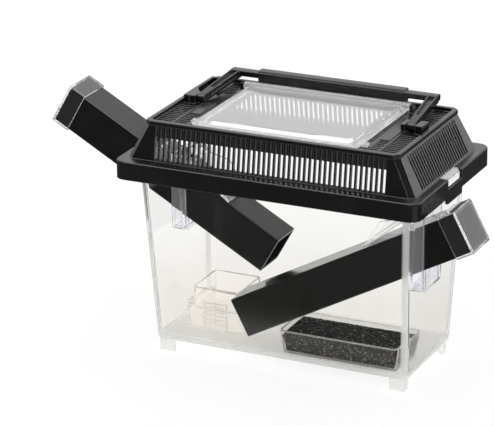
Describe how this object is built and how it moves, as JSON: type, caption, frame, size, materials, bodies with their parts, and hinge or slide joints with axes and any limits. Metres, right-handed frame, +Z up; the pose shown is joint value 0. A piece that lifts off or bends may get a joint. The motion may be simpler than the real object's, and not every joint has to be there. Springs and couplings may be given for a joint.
{
  "type": "cricket keeper box",
  "caption": "Clear tapered insect tank with a black vented lid, clear feeding hatch, folding handle and sloping square tubes that pass through its end walls.",
  "frame": {"origin": "centre of the footprint, on the plane of the tank's four feet", "axes": "+Z up, +X along the long side towards the right-hand port, -Y the front"},
  "size_m": [0.273, 0.109, 0.1487],
  "materials": {
    "clear_tank": "clear",
    "lid_black": "semi-gloss",
    "handle_black": "semi-gloss",
    "clear_hatch": "clear",
    "tube_black": "gloss",
    "clear_cap": "clear",
    "clear_port": "clear",
    "clear_tray": "clear",
    "substrate": "matt, fine grained",
    "clear_dish": "clear"
  },
  "bodies": {
    "base": {"tank": "clear_tank", "right_port_collar": "clear_port", "left_port_collar": "clear_port", "substrate_tray": "clear_tray", "substrate_pad": "substrate", "food_dish": "clear_dish"},
    "lid_body": {"lid": "lid_black"},
    "handle_body": {"handle": "handle_black"},
    "hatch_body": {"feeding_hatch": "clear_hatch"},
    "right_tube_body": {"right_tube": "tube_black"},
    "left_tube_body": {"left_tube": "tube_black"},
    "right_cap_body": {"right_tube_cap": "clear_cap"},
    "left_cap_body": {"left_tube_cap": "clear_cap"},
    "right_flap_body": {"right_port_flap": "clear_port"},
    "left_flap_body": {"left_port_flap": "clear_port"}
  },
  "joints": [
    {"name": "lid_lift", "type": "slide", "parent": "base", "child": "lid_body", "axis": [0, 0, 1], "range_m": [0, 0.05]},
    {"name": "handle_swing", "type": "hinge", "parent": "lid_body", "child": "handle_body", "pos_m": [0, 0.002, 0.1412], "axis": [1, 0, 0], "range_deg": [0, 160]},
    {"name": "hatch_open", "type": "hinge", "parent": "lid_body", "child": "hatch_body", "pos_m": [0, 0.033, 0.1412], "axis": [-1, 0, 0], "range_deg": [0, 88]},
    {"name": "right_tube_slide", "type": "slide", "parent": "base", "child": "right_tube_body", "axis": [0.8821, 0, 0.471], "range_m": [0, 0.1]},
    {"name": "left_tube_slide", "type": "slide", "parent": "base", "child": "left_tube_body", "axis": [-0.8712, 0, 0.4909], "range_m": [-0.05, 0.045]},
    {"name": "right_cap_pull", "type": "slide", "parent": "right_tube_body", "child": "right_cap_body", "axis": [0.8821, 0, 0.471], "range_m": [0, 0.015]},
    {"name": "left_cap_pull", "type": "slide", "parent": "left_tube_body", "child": "left_cap_body", "axis": [-0.8712, 0, 0.4909], "range_m": [0, 0.015]},
    {"name": "right_flap_lift", "type": "hinge", "parent": "base", "child": "right_flap_body", "pos_m": [0.0732, -0.018, 0.1], "axis": [0, 1, 0], "range_deg": [0, 40]},
    {"name": "left_flap_lift", "type": "hinge", "parent": "base", "child": "left_flap_body", "pos_m": [-0.0732, 0.018, 0.1], "axis": [0, -1, 0], "range_deg": [0, 40]}
  ]
}
